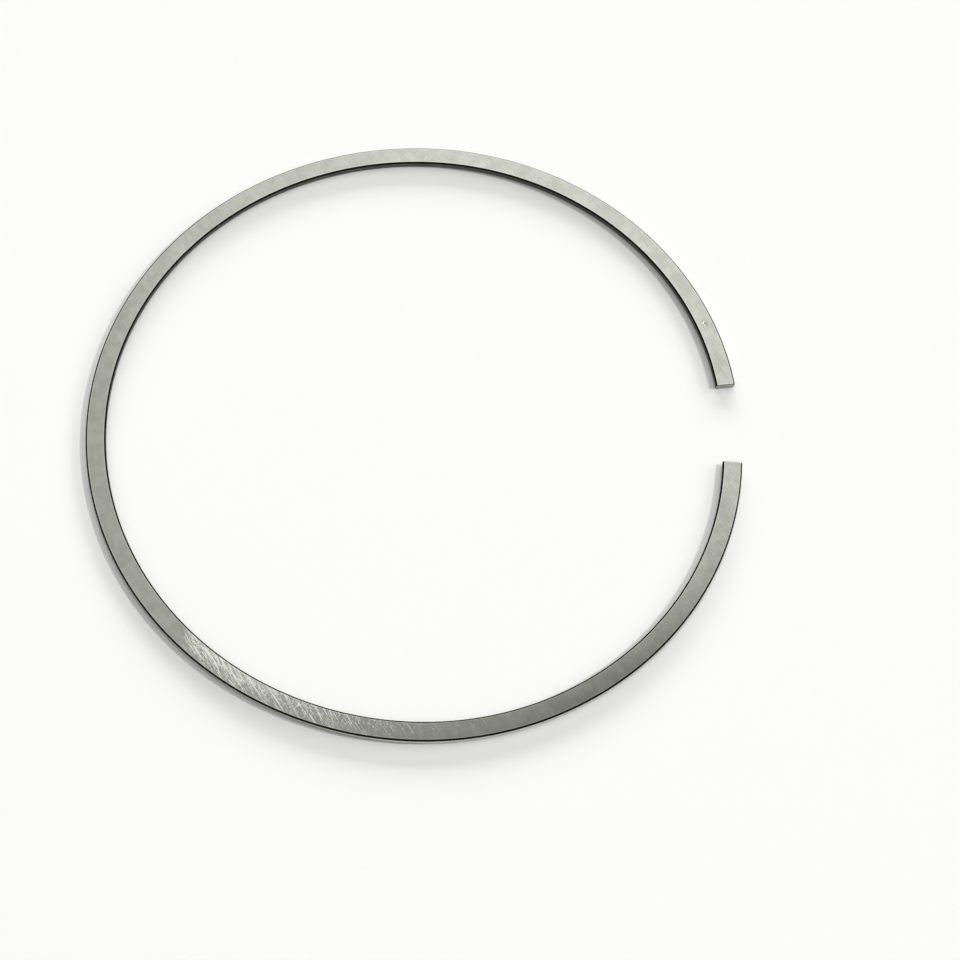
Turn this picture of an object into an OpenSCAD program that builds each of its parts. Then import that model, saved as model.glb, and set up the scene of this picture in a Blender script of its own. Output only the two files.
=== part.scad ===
// Compression piston ring with a plain butt gap, lying flat in its free, sprung-open state.
// The origin is the centre of the ring's box on its lower side face.
// +Z runs along the ring's axis and +X points at the gap between its ends.

/* [Fit] */
// Diameter of the cylinder bore that the closed ring fills
bore_d = 84; // [60:0.5:120]
// Gap between the ends when the ring is closed in its bore
closed_gap = 0.3; // [0.15:0.05:0.6]
// Gap between the ends when the ring is free, at the middle of the section
free_gap = 11.6; // [6:0.1:16]

/* [Section] */
// Radial wall, from the inner wall to the running face
radial_wall = 2.6; // [1.8:0.1:4]
// Axial height, between the two ground side faces
axial_height = 1; // [0.8:0.05:2.5]
// How far the barrel-shaped running face stands out at mid height
barrel_crown = 0.01; // [0.005:0.005:0.03]
// Bevel along both edges of the running face
outer_bevel = 0.2; // [0.05:0.01:0.3]
// Bevel along both edges of the inner wall
inner_bevel = 0.2; // [0.05:0.01:0.3]

/* [Hidden] */
$fn = 360;
ground_steel = [0.73, 0.73, 0.69];
quarter_turn = 90;
radian = 180 / PI;
micron = 0.001;

// Arc radii and centres are whole microns, so that the arcs meet face to face
function to_micron(length) = round(length / micron) * micron;

// Radius of the middle of the section when the ring is closed
mid_r = (bore_d - radial_wall) / 2;
// Angle from the back of the closed ring round to one of its ends
closed_turn = 2 * quarter_turn - closed_gap / 2 / mid_r * radian;
// How far the ring springs open. A ring that presses evenly all round its bore has the free
// curvature (1 - opening * (1 + cos(angle))) / mid_r at each closed angle from its back.
opening = (free_gap - closed_gap) / (3 * PI * mid_r);
// Angle that this curvature adds up to, from the back of the free ring round to one end
free_turn = closed_turn - opening * (closed_turn + sin(closed_turn) * radian);

// The free ring is three tangent arcs: one round its back half and one on to each end.
// Together they keep the closed ring's length, and they leave the free gap between the ends.
end_r = to_micron(
    (mid_r * closed_turn - quarter_turn * free_gap / 2)
        / (free_turn - quarter_turn * sin(free_turn))
);
back_r = to_micron(free_gap / 2 + end_r * (1 - sin(free_turn)));
// Angle of each end arc, from the ring's widest place to its end
end_turn = free_turn - quarter_turn;
// Place along X where the ring is widest and the arcs meet, with the box centred on the origin
widest_x = to_micron(
    (back_r + radial_wall / 2 + (end_r + radial_wall / 2) * cos(free_turn)) / 2
);

// Radius of the barrel-shaped running face, seen in the section
barrel_r = (pow(axial_height / 2, 2) + pow(barrel_crown, 2)) / (2 * barrel_crown);

// Section of the ring: X across the wall from its middle, Y up from the lower side face
module section() {
    inside = -radial_wall / 2;
    outside = radial_wall / 2;
    intersection() {
        polygon([
            [inside + inner_bevel, 0],
            [outside - outer_bevel, 0],
            [outside, outer_bevel],
            [outside, axial_height - outer_bevel],
            [outside - outer_bevel, axial_height],
            [inside + inner_bevel, axial_height],
            [inside, axial_height - inner_bevel],
            [inside, inner_bevel]
        ]);
        translate([outside - barrel_r, axial_height / 2]) circle(r = barrel_r);
    }
}

// One arc of the ring, from a start angle and about a centre on the line of its widest place
module ring_arc(radius, centre_y, start, turn) {
    translate([widest_x, centre_y])
        rotate(start)
            rotate_extrude(angle = turn)
                translate([radius, 0]) section();
}

// The arc from the widest place on the -Y side round to the end there
module end_arc() {
    ring_arc(end_r, end_r - back_r, -quarter_turn, end_turn);
}

module piston_ring() {
    color(ground_steel) {
        ring_arc(back_r, 0, quarter_turn, 2 * quarter_turn);
        end_arc();
        mirror([0, 1, 0]) end_arc();
    }
}

piston_ring();
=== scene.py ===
"""A free compression piston ring lying on a pale table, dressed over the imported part."""

import math

import bpy
from mathutils import Matrix, Vector


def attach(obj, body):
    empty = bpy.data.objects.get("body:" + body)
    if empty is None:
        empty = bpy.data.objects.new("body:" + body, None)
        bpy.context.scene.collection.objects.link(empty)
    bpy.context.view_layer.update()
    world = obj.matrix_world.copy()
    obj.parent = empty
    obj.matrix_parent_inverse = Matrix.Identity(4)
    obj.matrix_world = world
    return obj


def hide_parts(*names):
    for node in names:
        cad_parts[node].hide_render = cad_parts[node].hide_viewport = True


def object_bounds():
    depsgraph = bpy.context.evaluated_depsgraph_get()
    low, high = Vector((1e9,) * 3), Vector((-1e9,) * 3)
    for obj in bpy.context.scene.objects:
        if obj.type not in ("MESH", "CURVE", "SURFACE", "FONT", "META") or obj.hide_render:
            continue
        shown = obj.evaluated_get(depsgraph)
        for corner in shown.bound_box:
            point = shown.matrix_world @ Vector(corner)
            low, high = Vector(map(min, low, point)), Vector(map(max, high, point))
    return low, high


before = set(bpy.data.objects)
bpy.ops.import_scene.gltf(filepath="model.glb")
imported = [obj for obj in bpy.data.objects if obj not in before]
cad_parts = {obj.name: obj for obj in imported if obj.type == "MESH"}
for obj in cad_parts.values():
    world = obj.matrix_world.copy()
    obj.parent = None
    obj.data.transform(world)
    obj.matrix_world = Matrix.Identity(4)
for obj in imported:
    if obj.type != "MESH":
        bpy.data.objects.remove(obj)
cad_low, cad_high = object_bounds()

MM = 0.001

# Driving sizes of the ring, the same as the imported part's
BORE_D = 84 * MM
CLOSED_GAP = 0.3 * MM
FREE_GAP = 11.6 * MM
WALL = 2.6 * MM
HEIGHT = cad_high.z - cad_low.z
BARREL_CROWN = 0.01 * MM
OUTER_BEVEL = 0.2 * MM
INNER_BEVEL = 0.2 * MM

# Fine form that the ring has beyond its driving sizes
EDGE_R = 0.03 * MM
EDGE_STEPS = 3
END_EDGE_R = 0.05 * MM
END_EDGE_LEANS = (math.pi / 2, math.pi / 4, 0)
RIM = 0.15 * MM
BARREL_STEPS = 6
LAPPING_CROWN = 0.005 * MM
LAPPED_SHARES = (-0.88, -0.6, -0.3, 0.0, 0.3, 0.6, 0.88)
STATION_ANGLE = math.radians(0.5)

# Punched dot that marks the side that faces the piston's crown
DOT_ANGLE = math.radians(19.0)
DOT_R = 0.4 * MM
DOT_DEPTH = 0.09 * MM
DOT_SIDES = 32
DOT_RINGS = 6
DOT_PATCH = 2.2 * DOT_R

# Finishes round the section, which are the piece's material slots
LAPPED, DARK_EDGE, INNER_WALL, RUNNING, CUT_END = range(5)


def free_shape():
    """Radii of the back arc and the end arcs, the X where they meet, and the end arcs' angle."""
    mid_r = (BORE_D - WALL) / 2
    closed_turn = math.pi - CLOSED_GAP / 2 / mid_r
    opening = (FREE_GAP - CLOSED_GAP) / (3 * math.pi * mid_r)
    free_turn = closed_turn - opening * (closed_turn + math.sin(closed_turn))
    quarter = math.pi / 2
    end_r = (mid_r * closed_turn - quarter * FREE_GAP / 2) / (free_turn - quarter * math.sin(free_turn))
    back_r = FREE_GAP / 2 + end_r * (1 - math.sin(free_turn))
    widest_x = (back_r + WALL / 2 + (end_r + WALL / 2) * math.cos(free_turn)) / 2
    return back_r, end_r, widest_x, free_turn - quarter


BACK_R, END_R, WIDEST_X, END_TURN = free_shape()
END_CENTRE_Y = BACK_R - END_R
BARREL_R = ((HEIGHT / 2) ** 2 + BARREL_CROWN**2) / (2 * BARREL_CROWN)


def rounded_corner(before, corner, after):
    """Points and normals of a small round that is tangent to both sides of a section's corner."""
    to_before = (before - corner).normalized()
    to_after = (after - corner).normalized()
    half = to_before.angle(to_after) / 2
    centre = corner + (to_before + to_after).normalized() * (EDGE_R / math.sin(half))
    first = -Vector((-to_before.y, to_before.x))
    last = Vector((-to_after.y, to_after.x))
    if first.dot(corner - centre) < 0:
        first, last = -first, -last
    points = []
    for step in range(EDGE_STEPS + 1):
        normal = first.lerp(last, step / EDGE_STEPS).normalized()
        points.append((centre + normal * EDGE_R, normal))
    return points


def barrel_points(low, high):
    """Points and normals inside the barrel-shaped running face, between two heights."""
    points = []
    for step in range(1, BARREL_STEPS):
        up = low + (high - low) * step / BARREL_STEPS
        rise = (up - HEIGHT / 2) / BARREL_R
        normal = Vector((math.sqrt(1 - rise * rise), rise))
        across = WALL / 2 - BARREL_R * (1 - normal.x)
        points.append((Vector((across, up)), normal))
    return points


def facing(point):
    """1 for a point of the section's upper half and -1 for one of its lower half."""
    return 1 if point.y > HEIGHT / 2 else -1


def crowned_points(start, end):
    """Points and normals inside a side face, which lapping leaves a little higher in its middle."""
    middle = (start + end) / 2
    reach = (end - start) / 2
    points = []
    for share in LAPPED_SHARES:
        rise = LAPPING_CROWN * (1 - share * share) * facing(start)
        slope = 2 * LAPPING_CROWN * share / reach.x
        place = middle + reach * share + Vector((0, rise))
        points.append((place, Vector((slope, facing(start))).normalized()))
    return points


def leaving_towards(corner, other, finish):
    """Point that a side starts towards from a corner.

    A crowned face starts towards the place over its middle where its two end tangents meet.
    """
    if finish != LAPPED:
        return other
    return (corner + other) / 2 + Vector((0, 2 * LAPPING_CROWN * facing(corner)))


def section_corners(inset):
    """Sharp corners of the section, each with the finish of the side that follows it."""
    inside = -WALL / 2 + inset
    outside = WALL / 2 - inset
    low = inset
    high = HEIGHT - inset
    face_low = low + LAPPING_CROWN
    face_high = high - LAPPING_CROWN
    barrel_drop = BARREL_R - math.sqrt(BARREL_R**2 - (HEIGHT / 2 - OUTER_BEVEL) ** 2)
    shoulder = outside - barrel_drop
    return [
        (Vector((inside + INNER_BEVEL, face_low)), LAPPED),
        (Vector((outside - OUTER_BEVEL, face_low)), DARK_EDGE),
        (Vector((shoulder, low + OUTER_BEVEL - barrel_drop)), RUNNING),
        (Vector((shoulder, high - OUTER_BEVEL + barrel_drop)), DARK_EDGE),
        (Vector((outside - OUTER_BEVEL, face_high)), LAPPED),
        (Vector((inside + INNER_BEVEL, face_high)), DARK_EDGE),
        (Vector((inside, high - INNER_BEVEL)), INNER_WALL),
        (Vector((inside, low + INNER_BEVEL)), DARK_EDGE),
    ]


def section(inset):
    """The section as (point, normal, finish of the side that follows, rim), counter-clockwise.

    X runs across the wall from its middle and Y up from the lower face. A positive inset
    draws every side in by that much, for the broken edge round each end. Rim is 1 on the
    edges and 0 inside the faces.
    """
    corners = section_corners(inset)
    outline = []
    for index, (corner, finish) in enumerate(corners):
        before, finish_before = corners[index - 1]
        after = corners[(index + 1) % len(corners)][0]
        rounded = rounded_corner(
            leaving_towards(corner, before, finish_before),
            corner,
            leaving_towards(corner, after, finish),
        )
        # Edge rounds beside a bevel take its painted shade, so they show as dark lines
        edge_finish = DARK_EDGE if DARK_EDGE in (finish_before, finish) else finish
        for point, normal in rounded[:-1]:
            outline.append((point, normal, edge_finish, 1.0))
        outline.append(rounded[-1] + (finish, 1.0))
        inner_points = []
        if finish == RUNNING:
            start = rounded[-1][0].y
            inner_points = barrel_points(start, after.y - (start - corner.y))
            inner_points = [(point - Vector((inset, 0)), normal) for point, normal in inner_points]
        if finish == LAPPED:
            inner_points = crowned_points(corner, after)
        outline += [inner + (finish, 0.0) for inner in inner_points]
    return outline


def arc_stations():
    """Each station's centre Y, radius and polar angle, from the +Y end round to the -Y end."""
    end_steps = math.ceil(END_TURN / STATION_ANGLE)
    back_steps = math.ceil(math.pi / STATION_ANGLE)
    quarter = math.pi / 2
    first = quarter - END_TURN
    stations = [(END_CENTRE_Y, END_R, first + END_TURN * k / end_steps) for k in range(end_steps)]
    stations += [(0, BACK_R, quarter + math.pi * k / back_steps) for k in range(back_steps)]
    stations += [
        (-END_CENTRE_Y, END_R, 3 * quarter + END_TURN * k / end_steps) for k in range(end_steps + 1)
    ]
    return stations


def end_rows(station, side):
    """Rows of the broken edge at one end, from the end's flat inwards.

    Side is 1 at the first end and -1 at the last.
    """
    centre_y, radius, angle = station
    rows = []
    for lean in END_EDGE_LEANS:
        inset = END_EDGE_R * (1 - math.cos(lean))
        back = END_EDGE_R / END_R * (1 - math.sin(lean))
        rows.append((centre_y, radius, angle + side * back, inset, -side * lean, 1.0))
    rows.append((centre_y, radius, angle + side * (END_EDGE_R + RIM) / END_R, 0, 0, 0.0))
    return rows


def swept_rows():
    """Rows of the swept mesh, from the +Y end round to the -Y end.

    Each is a centre Y, radius, polar angle, inset, lean to the end's own normal, and rim.
    """
    stations = arc_stations()
    rows = end_rows(stations[0], 1)
    rows += [station + (0, 0, 0.0) for station in stations[1:-1]]
    return rows + end_rows(stations[-1], -1)[::-1]


class MeshParts:
    """Points with normals and rims, and faces with finishes, gathered before the mesh is made."""

    def __init__(self):
        self.points = []
        self.normals = []
        self.rims = []
        self.faces = []
        self.finishes = []
        self.corner_normals = []

    def point(self, place, normal, rim):
        """Adds a point, and returns its number."""
        self.points.append(place)
        self.normals.append(normal)
        self.rims.append(rim)
        return len(self.points) - 1

    def face(self, corners, finish, normals=None):
        """Adds a face, which takes its points' normals unless others are given."""
        self.faces.append(corners)
        self.finishes.append(finish)
        self.corner_normals.extend(normals or [self.normals[number] for number in corners])

    def mesh(self, name):
        """The mesh of all the points and faces."""
        made = bpy.data.meshes.new(name)
        made.from_pydata(self.points, [], self.faces)
        made.attributes.new("rim", "FLOAT", "POINT").data.foreach_set("value", self.rims)
        made.polygons.foreach_set("material_index", self.finishes)
        made.polygons.foreach_set("use_smooth", [True] * len(self.faces))
        made.normals_split_custom_set(self.corner_normals)
        made.validate()
        made.update()
        return made


def sweep(parts):
    """Adds the swept rows' points, and returns each row's point numbers."""
    numbers = []
    for centre_y, radius, angle, inset, lean, end_rim in swept_rows():
        outward = Vector((math.cos(angle), math.sin(angle), 0))
        along = Vector((-math.sin(angle), math.cos(angle), 0))
        row = []
        for point, normal, _, rim in section(inset):
            place = outward * (radius + point.x) + Vector((WIDEST_X, centre_y, point.y))
            level = outward * normal.x + Vector((0, 0, normal.y))
            leaning = (level * math.cos(lean) + along * math.sin(lean)).normalized()
            row.append(parts.point(place, leaning, max(rim, end_rim)))
        numbers.append(row)
    return numbers


def dot_columns():
    """Columns of the upper face on both sides of the punched dot, the outer one first."""
    upper = [k for k, (_, normal, _, rim) in enumerate(section(0)) if rim == 0 and normal.y > normal.x]
    return upper[1], upper[-2]


def dot_rows():
    """First and last row of the patch of the upper face that holds the punched dot."""
    angles = [angle for _, _, angle, *_ in swept_rows()]
    near = [k for k, angle in enumerate(angles) if abs(angle - DOT_ANGLE) < DOT_PATCH / END_R]
    return near[0], near[-1]


def ring_of_points(parts, centre, radius, depth):
    """Adds one level circle of the punched dot."""
    up = Vector((0, 0, 1))
    turns = [2 * math.pi * k / DOT_SIDES for k in range(DOT_SIDES)]
    return [
        parts.point(centre + Vector((radius * math.cos(turn), radius * math.sin(turn), -depth)), up, 0.0)
        for turn in turns
    ]


def stitch(parts, outer, inner, centre):
    """Fills the flat between two loops that both go once round the centre."""

    def turn_of(number):
        offset = parts.points[number] - centre
        return math.atan2(offset.y, offset.x) % (2 * math.pi)

    def turn_after(loop, place):
        return turn_of(loop[place + 1]) if place + 1 < len(loop) else 2 * math.pi + turn_of(loop[0])

    outer = sorted(outer, key=turn_of)
    inner = sorted(inner, key=turn_of)
    i = j = 0
    while i < len(outer) or j < len(inner):
        a, b = outer[i % len(outer)], inner[j % len(inner)]
        outer_is_next = i < len(outer) and turn_after(outer, i) <= turn_after(inner, j)
        if j >= len(inner) or outer_is_next:
            i += 1
            parts.face((b, a, outer[i % len(outer)]), LAPPED)
        else:
            j += 1
            parts.face((b, a, inner[j % len(inner)]), LAPPED)


def punch_dot(parts, around):
    """Adds the flat from a loop of points to the punched dot, and the dot's bowl."""
    centre = Vector((WIDEST_X, END_CENTRE_Y, HEIGHT))
    centre += Vector((math.cos(DOT_ANGLE), math.sin(DOT_ANGLE), 0)) * END_R

    def bowl_face(corners):
        slope = 2 * DOT_DEPTH / DOT_R**2
        offsets = [parts.points[number] - centre for number in corners]
        normals = [Vector((-slope * offset.x, -slope * offset.y, 1)).normalized() for offset in offsets]
        parts.face(corners, RUNNING, normals)

    rings = []
    for level in range(DOT_RINGS):
        share = 1 - level / DOT_RINGS
        rings.append(ring_of_points(parts, centre, DOT_R * share, DOT_DEPTH * (1 - share * share)))
    stitch(parts, around, rings[0], centre)
    lowest = parts.point(centre - Vector((0, 0, DOT_DEPTH)), Vector((0, 0, 1)), 0.0)
    for k in range(DOT_SIDES):
        after = (k + 1) % DOT_SIDES
        for outer, inner in zip(rings, rings[1:]):
            bowl_face((outer[k], outer[after], inner[after], inner[k]))
        bowl_face((rings[-1][k], rings[-1][after], lowest))


def ring_mesh():
    """The ring as one closed mesh, with its finishes as material slots."""
    parts = MeshParts()
    insets = [inset for _, _, _, inset, *_ in swept_rows()]
    numbers = sweep(parts)
    finishes = [finish for _, _, finish, _ in section(0)]
    count = len(finishes)
    first_column, last_column = dot_columns()
    first_row, last_row = dot_rows()
    for row, (here, onward) in enumerate(zip(numbers, numbers[1:])):
        on_broken_edge = insets[row] != insets[row + 1]
        for k in range(count):
            if first_column <= k < last_column and first_row <= row < last_row:
                continue
            after = (k + 1) % count
            corners = (here[k], onward[k], onward[after], here[after])
            # The broken edges round each end take the bevels' painted shade too
            parts.face(corners, DARK_EDGE if on_broken_edge else finishes[k])
    parts.face(tuple(numbers[0]), CUT_END)
    parts.face(tuple(reversed(numbers[-1])), CUT_END)

    patch_columns = range(first_column, last_column + 1)
    patch_rows = range(first_row, last_row + 1)
    around = {numbers[row][k] for row in (first_row, last_row) for k in patch_columns}
    around |= {numbers[row][k] for row in patch_rows for k in (first_column, last_column)}
    punch_dot(parts, around)
    return parts.mesh("piston_ring_finished")


def add(tree, kind, inputs=None, **settings):
    """Adds a node, sets its settings and inputs, and links the inputs that are sockets."""
    made = tree.nodes.new(kind)
    for name, value in settings.items():
        setattr(made, name, value)
    for name, value in (inputs or {}).items():
        if isinstance(value, bpy.types.NodeSocket):
            tree.links.new(value, made.inputs[name])
        else:
            made.inputs[name].default_value = value
    return made


def maths(tree, operation, *values):
    """One Math node's result."""
    return add(tree, "ShaderNodeMath", dict(enumerate(values)), operation=operation).outputs[0]


def remap(tree, value, low, high, to_low, to_high):
    """A value moved smoothly from one range to another and held there."""
    inputs = {"Value": value, "From Min": low, "From Max": high, "To Min": to_low, "To Max": to_high}
    return add(tree, "ShaderNodeMapRange", inputs, interpolation_type="SMOOTHSTEP").outputs["Result"]


# Sockets of a Mix node that mixes colours, which share their names with others
MIX_SHARE, MIX_FIRST, MIX_SECOND, MIX_RESULT = 0, 6, 7, 2


def mixed(tree, share, first, second):
    """Two colours mixed by a share."""
    inputs = {MIX_SHARE: share, MIX_FIRST: first, MIX_SECOND: second}
    return add(tree, "ShaderNodeMix", inputs, data_type="RGBA").outputs[MIX_RESULT]


# Detail of a noise: how many finer layers it has
PLAIN_DETAIL = 2.0
FINE_DETAIL = 3.0
STREAK_DETAIL = 1.0

# Stretches of a noise's values over which a feature goes from none to full
WIDE_SPAN = (0.3, 0.7)
MIDDLE_SPAN = (0.35, 0.65)


def noise(tree, place, size, detail=PLAIN_DETAIL):
    """Noise with features of about a size in metres."""
    inputs = {"Vector": place, "Scale": 1 / size, "Detail": detail}
    return add(tree, "ShaderNodeTexNoise", inputs).outputs["Fac"]


def scratches(tree, place, angle, width, length, slice_number, detail=STREAK_DETAIL):
    """Streaks of noise along one direction of the flat faces, in a slice of the noise of their own."""
    inputs = {
        "Vector": place,
        "Location": (0, 0, slice_number * width),
        "Rotation": (0, 0, math.radians(angle)),
        "Scale": (length, width, width),
    }
    streaked = add(tree, "ShaderNodeMapping", inputs, vector_type="TEXTURE").outputs["Vector"]
    return noise(tree, streaked, 1.0, detail)


def tool_marks(tree, place, level, upright):
    """Noise with one size in metres on the level and another upwards, as turning and grinding leave."""
    inputs = {"Vector": place, "Scale": (1 / level, 1 / level, 1 / upright)}
    stretched = add(tree, "ShaderNodeMapping", inputs, vector_type="POINT").outputs["Vector"]
    return noise(tree, stretched, 1.0)


def new_material(name):
    """A new material: itself, its tree, its shader and its object coordinates."""
    material = bpy.data.materials.new(name)
    material.use_nodes = True
    tree = material.node_tree
    shader = next(n for n in tree.nodes if n.type == "BSDF_PRINCIPLED")
    place = add(tree, "ShaderNodeTexCoord").outputs["Object"]
    return material, tree, shader, place


def metal(name):
    """A new material that is all metal."""
    material, tree, shader, place = new_material(name)
    shader.inputs["Metallic"].default_value = 1.0
    return material, tree, shader, place


def dress(tree, shader, colour, roughness, height, depth):
    """Links a shader's colour and roughness, and a bump of a real depth from a height of 0 to 1."""
    normal = add(tree, "ShaderNodeBump", {"Height": height, "Distance": depth}).outputs["Normal"]
    for name, value in (("Base Color", colour), ("Roughness", roughness), ("Normal", normal)):
        tree.links.new(value, shader.inputs[name])


# Lapping scratches of the side faces, and the stretch of the -Y side where they are painted dense and
# bright as glints
SCRATCH_SETS = [
    # angle in degrees, width and length in metres, share of the full brightness,
    # and lead over the threshold
    (-58, 0.15 * MM, 5.0 * MM, 1.0, 0.015),
    (-60, 0.1 * MM, 3.0 * MM, 1.0, 0.0),
    (-55, 0.07 * MM, 1.6 * MM, 1.0, -0.01),
    (-67, 0.065 * MM, 1.2 * MM, 0.9, 0.0),
    (-47, 0.065 * MM, 1.5 * MM, 0.8, 0.0),
    (-77, 0.085 * MM, 0.8 * MM, 0.7, 0.0),
    (42, 0.065 * MM, 1.0 * MM, 0.65, 0.0),
    (-40, 0.17 * MM, 0.3 * MM, 1.0, 0.0),
]
SCRATCH_SLICE = 7.3
SCRATCH_SPARSE = 0.75
SCRATCH_DENSE = 0.59
SCRATCH_EDGE = 0.04
SCRATCH_FAINT = 0.35
SCRATCH_FULL_STRETCH = 0.6
SCRATCH_BEND = 0.5 * MM
SCRATCH_BEND_SIZE = 4 * MM
SCRATCH_SCATTER = 0.42
GLINT_STRETCH_SIDE = (-10 * MM, -20 * MM)
GLINT_STRETCH_START = (-30.5 * MM, -28 * MM)
GLINT_STRETCH_END = (-28 * MM, 16 * MM)
GLINT_STRETCH_RADII = (BACK_R - WALL / 4, BACK_R + WALL / 2)
GLINT_STRETCH_OUTER = 0.55
GLINT_STRETCH_LEAST = 0.06


def painted_glint_stretch(tree, place):
    """Share of the painted glint stretch, 0 to 1: most on one stretch of the -Y side, which starts
    sharply.
    """
    across, along, _ = add(tree, "ShaderNodeSeparateXYZ", {"Vector": place}).outputs
    depth = remap(tree, along, *GLINT_STRETCH_SIDE, 0.0, 1.0)
    depth = maths(tree, "MULTIPLY", depth, remap(tree, across, *GLINT_STRETCH_START, 0.0, 1.0))
    depth = maths(tree, "MULTIPLY", depth, remap(tree, across, *GLINT_STRETCH_END, 1.0, 0.0))
    inputs = {0: place, 1: (WIDEST_X, 0, 0)}
    radius = add(tree, "ShaderNodeVectorMath", inputs, operation="DISTANCE").outputs["Value"]
    across_wall = remap(tree, radius, *GLINT_STRETCH_RADII, 1.0, GLINT_STRETCH_OUTER)
    depth = maths(tree, "MULTIPLY", depth, across_wall)
    return maths(tree, "MAXIMUM", depth, GLINT_STRETCH_LEAST)


def bent(tree, place):
    """Places shifted a little this way and that, so that long scratches aren't all parallel."""
    inputs = {"Vector": place, "Scale": 1 / SCRATCH_BEND_SIZE, "Detail": STREAK_DETAIL}
    shift = add(tree, "ShaderNodeTexNoise", inputs).outputs["Color"]
    inputs = {0: shift, 1: (SCRATCH_BEND,) * 3, 2: place}
    return add(tree, "ShaderNodeVectorMath", inputs, operation="MULTIPLY_ADD").outputs["Vector"]


def lapping_lines(tree, place, depth):
    """Scratches painted bright as glints, 0 to 1: sparse outside the painted glint stretch and dense
    inside it.
    """
    threshold = maths(tree, "MULTIPLY_ADD", depth, SCRATCH_DENSE - SCRATCH_SPARSE, SCRATCH_SPARSE)
    full = maths(tree, "ADD", threshold, SCRATCH_EDGE)
    place = bent(tree, place)
    lines = 0.0
    for number, (angle, width, length, share, lead) in enumerate(SCRATCH_SETS):
        streaks = scratches(tree, place, angle, width, length, SCRATCH_SLICE * number)
        streaks = maths(tree, "ADD", streaks, lead)
        lines = maths(tree, "MAXIMUM", lines, remap(tree, streaks, threshold, full, 0.0, share))
    clearness = remap(tree, depth, 0.0, SCRATCH_FULL_STRETCH, SCRATCH_FAINT, 1.0)
    return maths(tree, "MULTIPLY", lines, clearness)


# Steel of the lapped side faces, and the sizes in it. A hair is an angle, a width and a length.
STEEL = (0.6, 0.61, 0.545, 1)
# Near-white painted highlight, for the scratches' glints and the rims
STEEL_HIGHLIGHT = (0.97, 0.98, 0.9, 1)
STEEL_DULL = (0.36, 0.365, 0.325, 1)
STEEL_ROUGHNESS = (0.14, 0.17)
STEEL_BUMP = 0.003 * MM
GRAIN_SIZE = 0.14 * MM
MOTTLE_SIZE = 1.4 * MM
CLOUD_SIZE = 5 * MM
HAIR = (-60, 0.06 * MM, 1.6 * MM)
HAIR_SLICE = 53.1
PIT_SPAN = (0.52, 0.66)

# How much dull steel or painted highlight each feature mixes in
CLOUD_DULLS = 0.14
MOTTLE_DULLS = 0.3
HAIR_DULLS = 0.2
GLINT_STRETCH_DULLS = 0.35
PIT_DULLS = 0.85
LINE_GLINT_BRIGHTENS = 0.9
RIM_HIGHLIGHT_BRIGHTENS = 0.6

# What the features add to the roughness and to the height
HAIR_ROUGHENS = 0.04
LINE_ROUGHENS = 0.08
HAIR_RISES = 0.3
GRAIN_RISES = 0.12
LINE_RISES = -0.25


def lapped_steel():
    """Satin side faces with crossing lapping scratches, painted as glints on one stretch, and a painted
    highlight along the rims.
    """
    material, tree, shader, place = metal("lapped_steel")
    # depth is the share of the painted glint stretch, where glints, pits and darker steel are painted
    depth = painted_glint_stretch(tree, place)
    lines = lapping_lines(tree, place, depth)
    hair = scratches(tree, place, *HAIR, HAIR_SLICE, FINE_DETAIL)
    grain = noise(tree, place, GRAIN_SIZE)
    mottle = noise(tree, place, MOTTLE_SIZE, FINE_DETAIL)
    cloud = noise(tree, place, CLOUD_SIZE, FINE_DETAIL)
    pits = maths(tree, "MULTIPLY", remap(tree, grain, *PIT_SPAN, 0.0, 1.0), depth)
    rim = add(tree, "ShaderNodeAttribute", attribute_name="rim").outputs["Fac"]

    colour = mixed(tree, remap(tree, cloud, *WIDE_SPAN, 0.0, CLOUD_DULLS), STEEL, STEEL_DULL)
    colour = mixed(tree, remap(tree, mottle, *MIDDLE_SPAN, 0.0, MOTTLE_DULLS), colour, STEEL_DULL)
    colour = mixed(tree, remap(tree, hair, *MIDDLE_SPAN, 0.0, HAIR_DULLS), colour, STEEL_DULL)
    # The steel is painted darker inside the glint stretch
    colour = mixed(tree, maths(tree, "MULTIPLY", depth, GLINT_STRETCH_DULLS), colour, STEEL_DULL)
    colour = mixed(tree, maths(tree, "MULTIPLY", pits, PIT_DULLS), colour, STEEL_DULL)
    # Painted glints: the scratches are painted near-white
    colour = mixed(tree, maths(tree, "MULTIPLY", lines, LINE_GLINT_BRIGHTENS), colour, STEEL_HIGHLIGHT)
    # Painted highlight along the rims of the side faces
    colour = mixed(tree, maths(tree, "MULTIPLY", rim, RIM_HIGHLIGHT_BRIGHTENS), colour, STEEL_HIGHLIGHT)

    roughness = remap(tree, cloud, *WIDE_SPAN, *STEEL_ROUGHNESS)
    hair_roughness = remap(tree, hair, *MIDDLE_SPAN, 0.0, HAIR_ROUGHENS)
    roughness = maths(tree, "ADD", roughness, hair_roughness)
    roughness = maths(tree, "MULTIPLY_ADD", lines, LINE_ROUGHENS, roughness)
    mirrored = maths(tree, "MULTIPLY_ADD", lines, -SCRATCH_SCATTER, 1.0)
    tree.links.new(mirrored, shader.inputs["Metallic"])

    height = maths(tree, "MULTIPLY", hair, HAIR_RISES)
    height = maths(tree, "ADD", height, maths(tree, "MULTIPLY", grain, GRAIN_RISES))
    height = maths(tree, "MULTIPLY_ADD", lines, LINE_RISES, height)
    dress(tree, shader, colour, roughness, height, STEEL_BUMP)
    return material


# Bevels and edge rounds, painted near-black as shade for the dark room that they mirror
EDGE_SHADE_DARK = (0.006, 0.006, 0.006, 1)
EDGE_SHADE_PALE = (0.016, 0.016, 0.015, 1)
EDGE_RUBBED = (0.34, 0.34, 0.31, 1)
EDGE_SHADE_TINT = (0.35, 0.35, 0.34, 1)
EDGE_ROUGHNESS = (0.42, 0.58)
EDGE_BUMP = 0.004 * MM
EDGE_GRAIN_SIZE = 0.12 * MM
NICK_SIZE = 0.9 * MM
NICK_SPAN = (0.69, 0.76)
NICK_SHARE = 0.6


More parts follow.
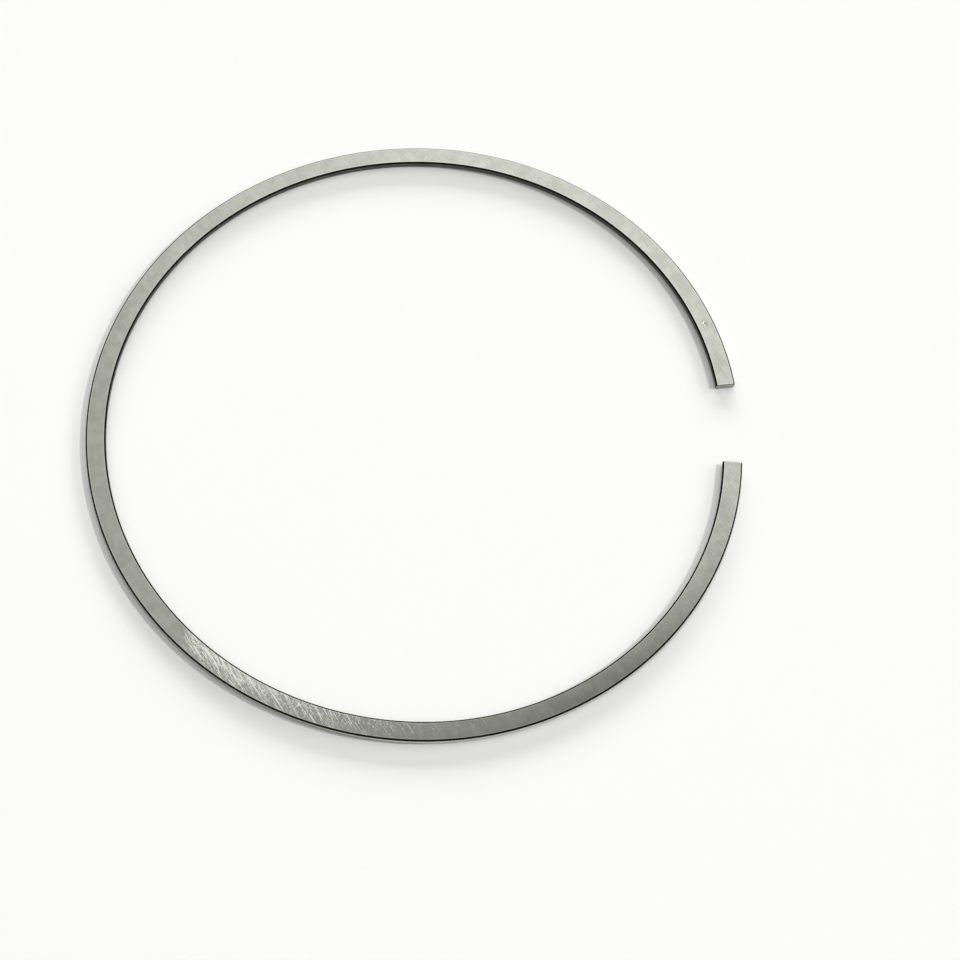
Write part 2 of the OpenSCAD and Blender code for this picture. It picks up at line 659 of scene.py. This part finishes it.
def shaded_edge_steel():
    """Near-black bevels and edge rounds, with bright nicks where they have rubbed. The near-black is
    painted shade.
    """
    material, tree, shader, place = metal("shaded_edge_steel")
    grain = noise(tree, place, EDGE_GRAIN_SIZE, FINE_DETAIL)
    nicks = noise(tree, place, NICK_SIZE)
    colour = mixed(tree, grain, EDGE_SHADE_DARK, EDGE_SHADE_PALE)
    colour = mixed(tree, remap(tree, nicks, *NICK_SPAN, 0.0, NICK_SHARE), colour, EDGE_RUBBED)
    roughness = remap(tree, grain, *WIDE_SPAN, *EDGE_ROUGHNESS)
    # The grey specular tint dims the bevels' mirror at grazing angles, which is more painted shade
    shader.inputs["Specular Tint"].default_value = EDGE_SHADE_TINT
    dress(tree, shader, colour, roughness, grain, EDGE_BUMP)
    return material


# Inner wall. Tool marks are given by their size on the level and upwards.
WALL_DARK = (0.085, 0.085, 0.083, 1)
WALL_PALE = (0.15, 0.15, 0.145, 1)
WALL_STAINED = (0.06, 0.06, 0.058, 1)
WALL_ROUGHNESS = (0.34, 0.48)
WALL_BUMP = 0.006 * MM
WALL_MARKS = (6 * MM, 0.07 * MM)
STAIN_SIZE = 3 * MM
STAIN_SPAN = (0.35, 0.7)
STAIN_SHARE = 0.35


def inner_wall_steel():
    """Dark grey inner wall, with turning marks along it."""
    material, tree, shader, place = metal("inner_wall_steel")
    marks = tool_marks(tree, place, *WALL_MARKS)
    stain = noise(tree, place, STAIN_SIZE, FINE_DETAIL)
    colour = mixed(tree, marks, WALL_DARK, WALL_PALE)
    colour = mixed(tree, remap(tree, stain, *STAIN_SPAN, 0.0, STAIN_SHARE), colour, WALL_STAINED)
    roughness = remap(tree, stain, *WIDE_SPAN, *WALL_ROUGHNESS)
    dress(tree, shader, colour, roughness, marks, WALL_BUMP)
    return material


# Running face
RUNNING_DARK = (0.62, 0.625, 0.58, 1)
RUNNING_PALE = (0.8, 0.805, 0.75, 1)
RUNNING_DULL = (0.5, 0.5, 0.465, 1)
RUNNING_ROUGHNESS = (0.24, 0.34)
RUNNING_BUMP = 0.004 * MM
RUNNING_MARKS = (4 * MM, 0.05 * MM)
RUNNING_CLOUD_SIZE = 4 * MM
RUNNING_CLOUD_SPAN = (0.4, 0.7)
RUNNING_CLOUD_SHARE = 0.3


def running_steel():
    """Bright barrel-shaped running face, with fine marks along it."""
    material, tree, shader, place = metal("running_steel")
    marks = tool_marks(tree, place, *RUNNING_MARKS)
    cloud = noise(tree, place, RUNNING_CLOUD_SIZE, FINE_DETAIL)
    dulled = remap(tree, cloud, *RUNNING_CLOUD_SPAN, 0.0, RUNNING_CLOUD_SHARE)
    colour = mixed(tree, marks, RUNNING_DARK, RUNNING_PALE)
    colour = mixed(tree, dulled, colour, RUNNING_DULL)
    roughness = remap(tree, cloud, *WIDE_SPAN, *RUNNING_ROUGHNESS)
    dress(tree, shader, colour, roughness, marks, RUNNING_BUMP)
    return material


# Butt ends
CUT_DARK = (0.28, 0.28, 0.265, 1)
CUT_PALE = (0.46, 0.46, 0.43, 1)
CUT_ROUGHNESS = (0.3, 0.42)
CUT_BUMP = 0.006 * MM
CUT_MARKS = (0.08 * MM, 1.2 * MM)


def cut_end_steel():
    """Ground butt ends, greyer than the side faces, with grinding marks up and down."""
    material, tree, shader, place = metal("cut_end_steel")
    marks = tool_marks(tree, place, *CUT_MARKS)
    colour = mixed(tree, marks, CUT_DARK, CUT_PALE)
    roughness = remap(tree, marks, *WIDE_SPAN, *CUT_ROUGHNESS)
    dress(tree, shader, colour, roughness, marks, CUT_BUMP)
    return material


def make_ring():
    """The finished ring, in the place of the plain solid."""
    mesh = ring_mesh()
    for make_finish in (lapped_steel, shaded_edge_steel, inner_wall_steel, running_steel, cut_end_steel):
        mesh.materials.append(make_finish())
    ring = bpy.data.objects.new("piston_ring_finished", mesh)
    bpy.context.scene.collection.objects.link(ring)
    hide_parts("piston_ring")
    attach(ring, "root")


# Table top
FLOOR_R = 6.0
FLOOR_SIDES = 96
FLOOR_DROP = 0.002 * MM
FLOOR_WHITE = (0.93, 0.93, 0.922, 1)
FLOOR_FLECK = (0.915, 0.915, 0.907, 1)
FLECK_SIZE = 0.6 * MM


def make_floor():
    """A wide plain table top just under the ring."""
    mesh = bpy.data.meshes.new("table_top")
    turns = [2 * math.pi * k / FLOOR_SIDES for k in range(FLOOR_SIDES)]
    rim = [(FLOOR_R * math.cos(t), FLOOR_R * math.sin(t), -FLOOR_DROP) for t in turns]
    mesh.from_pydata(rim, [], [tuple(range(FLOOR_SIDES))])
    material, tree, shader, place = new_material("table_white")
    colour = mixed(tree, noise(tree, place, FLECK_SIZE), FLOOR_WHITE, FLOOR_FLECK)
    tree.links.new(colour, shader.inputs["Base Color"])
    shader.inputs["Roughness"].default_value = 1.0
    shader.inputs["Specular IOR Level"].default_value = 0.0
    mesh.materials.append(material)
    floor = bpy.data.objects.new("table_top", mesh)
    bpy.context.scene.collection.objects.link(floor)


# Camera, matched to the photograph's view of the ring
CAMERA_PLACE = Vector((-7.365, -131.949, 250.455)) * MM
CAMERA_HEADING = math.radians(-7.237)
CAMERA_TILT = math.radians(26.544)
CAMERA_ROLL = math.radians(6.206)
CAMERA_LENS = 80.083
SENSOR_WIDTH = 36.0
CLIP_NEAR = 0.01
CLIP_FAR = 50.0


def make_camera():
    """The camera at the photograph's viewing angle."""
    data = bpy.data.cameras.new("camera")
    data.lens = CAMERA_LENS
    data.sensor_width = SENSOR_WIDTH
    data.clip_start = CLIP_NEAR
    data.clip_end = CLIP_FAR
    camera = bpy.data.objects.new("camera", data)
    camera.matrix_world = (
        Matrix.Translation(CAMERA_PLACE)
        @ Matrix.Rotation(CAMERA_HEADING, 4, "Z")
        @ Matrix.Rotation(CAMERA_TILT, 4, "X")
        @ Matrix.Rotation(CAMERA_ROLL, 4, "Z")
    )
    bpy.context.scene.collection.objects.link(camera)
    bpy.context.scene.camera = camera


def direction(azimuth, elevation):
    """Unit vector towards an azimuth, from +X towards +Y, and an elevation, in degrees."""
    a, e = math.radians(azimuth), math.radians(elevation)
    return Vector((math.cos(e) * math.cos(a), math.cos(e) * math.sin(a), math.sin(e)))


# Studio light, with angles in degrees: an even room, round soft lights, low strips, and two far
# lamps. Metal also mirrors the room's pale walls, which leave a dim corner round the soft lights:
# its azimuth, elevation, the angle of its core, and the angle where the walls are full.
ROOM = 0.1
PALE_WALLS = 0.35
DIM_CORNER = (87, 62, 18, 36)
SOFT_LIGHTS = [
    # azimuth, elevation, angle of its even core, angle where it has faded out, strength
    (75.5, 47, 16, 21, 0.565),
    (65.5, 48.5, 14, 18.4, 0.49),
    (112, 64, 6, 21, 0.34),
    (154, 54, 26, 44, 0.2),
    (205, 40, 15, 50, 0.32),
    (300, 40, 15, 50, 0.32),
]
STRIPS = [
    # azimuth and elevation, core and edge across, core and edge up, strength of its lamp
    (84, 13, 20, 42, 3.5, 8, 18.5),
    (15, 21, 12, 35, 4, 9, 5.3),
]
LAMP_DISTANCE = 8.0
STRIP_IN_METAL = 0.8
SUNS = [
    # name, azimuth, elevation, width, strength, whether metal mirrors it
    ("key", 2, 44, 5, 1.08, True),
    ("overhead", 270, 82, 20, 0.2, False),
]


def soft_light(tree, towards, azimuth, elevation, core, edge, strength):
    """Light of one round soft light, by the angle off its axis."""
    inputs = {0: towards, 1: direction(azimuth, elevation)}
    facing_it = add(tree, "ShaderNodeVectorMath", inputs, operation="DOT_PRODUCT").outputs["Value"]
    off_axis = maths(tree, "ARCCOSINE", facing_it)
    return remap(tree, off_axis, math.radians(core), math.radians(edge), strength, 0.0)


def off_by(tree, angle, middle):
    """How far an angle is from a middle that is given in degrees."""
    return maths(tree, "ABSOLUTE", maths(tree, "SUBTRACT", angle, math.radians(middle)))


def strip_image(tree, towards, azimuth, elevation, core_across, edge_across, core_up, edge_up):
    """The pale image of one low strip that metal mirrors, by the angles off its middle across and up."""
    x, y, z = add(tree, "ShaderNodeSeparateXYZ", {"Vector": towards}).outputs
    across = off_by(tree, maths(tree, "ARCTAN2", y, x), azimuth)
    up = off_by(tree, maths(tree, "ARCSINE", z), elevation)
    share = remap(tree, across, math.radians(core_across), math.radians(edge_across), 1.0, 0.0)
    level = remap(tree, up, math.radians(core_up), math.radians(edge_up), STRIP_IN_METAL, 0.0)
    return maths(tree, "MULTIPLY", share, level)


def make_world():
    """The room with its soft lights and the strips' images. Metal also mirrors its pale walls."""
    world = bpy.data.worlds.new("studio")
    bpy.context.scene.world = world
    world.use_nodes = True
    tree = world.node_tree
    background = next(n for n in tree.nodes if n.type == "BACKGROUND")
    towards = add(tree, "ShaderNodeTexCoord").outputs["Generated"]
    level = ROOM
    for settings in SOFT_LIGHTS:
        level = maths(tree, "ADD", soft_light(tree, towards, *settings), level)
    for *settings, _ in STRIPS:
        level = maths(tree, "ADD", strip_image(tree, towards, *settings), level)
    walls = maths(tree, "SUBTRACT", PALE_WALLS, soft_light(tree, towards, *DIM_CORNER, PALE_WALLS))
    glossy = add(tree, "ShaderNodeLightPath").outputs["Is Glossy Ray"]
    level = maths(tree, "MULTIPLY_ADD", glossy, walls, level)
    tree.links.new(level, background.inputs["Strength"])
    background.inputs["Color"].default_value = (1, 1, 1, 1)


def add_lamp(name, data, azimuth, elevation, distance, mirrored):
    """Hangs a lamp in a direction, facing the ring."""
    lamp = bpy.data.objects.new(name, data)
    lamp.location = direction(azimuth, elevation) * distance
    lamp.rotation_mode = "QUATERNION"
    lamp.rotation_quaternion = direction(azimuth, elevation).to_track_quat("Z", "Y")
    lamp.visible_camera = False
    lamp.visible_glossy = mirrored
    bpy.context.scene.collection.objects.link(lamp)


def make_sun(name, azimuth, elevation, width, strength, mirrored):
    """A far lamp: the key with its narrow shadow, or the light from overhead."""
    sun = bpy.data.lights.new(name, "SUN")
    sun.energy = strength
    sun.angle = math.radians(width)
    add_lamp(name, sun, azimuth, elevation, LAMP_DISTANCE, mirrored)


def make_strip_lamp(azimuth, elevation, core_across, edge_across, core_up, edge_up, strength):
    """A low strip's lamp, which lights the table and casts the wide shadows. Metal doesn't mirror it."""
    data = bpy.data.lights.new("strip", "AREA")
    data.shape = "RECTANGLE"
    data.size = 2 * LAMP_DISTANCE * math.tan(math.radians((core_across + edge_across) / 2))
    data.size_y = 2 * LAMP_DISTANCE * math.tan(math.radians((core_up + edge_up) / 2))
    data.energy = math.pi * strength * data.size * data.size_y
    add_lamp("strip", data, azimuth, elevation, LAMP_DISTANCE, False)


make_ring()
make_floor()
make_camera()
make_world()
for sun_settings in SUNS:
    make_sun(*sun_settings)
for strip_settings in STRIPS:
    make_strip_lamp(*strip_settings)
bpy.context.scene.view_settings.view_transform = "Standard"
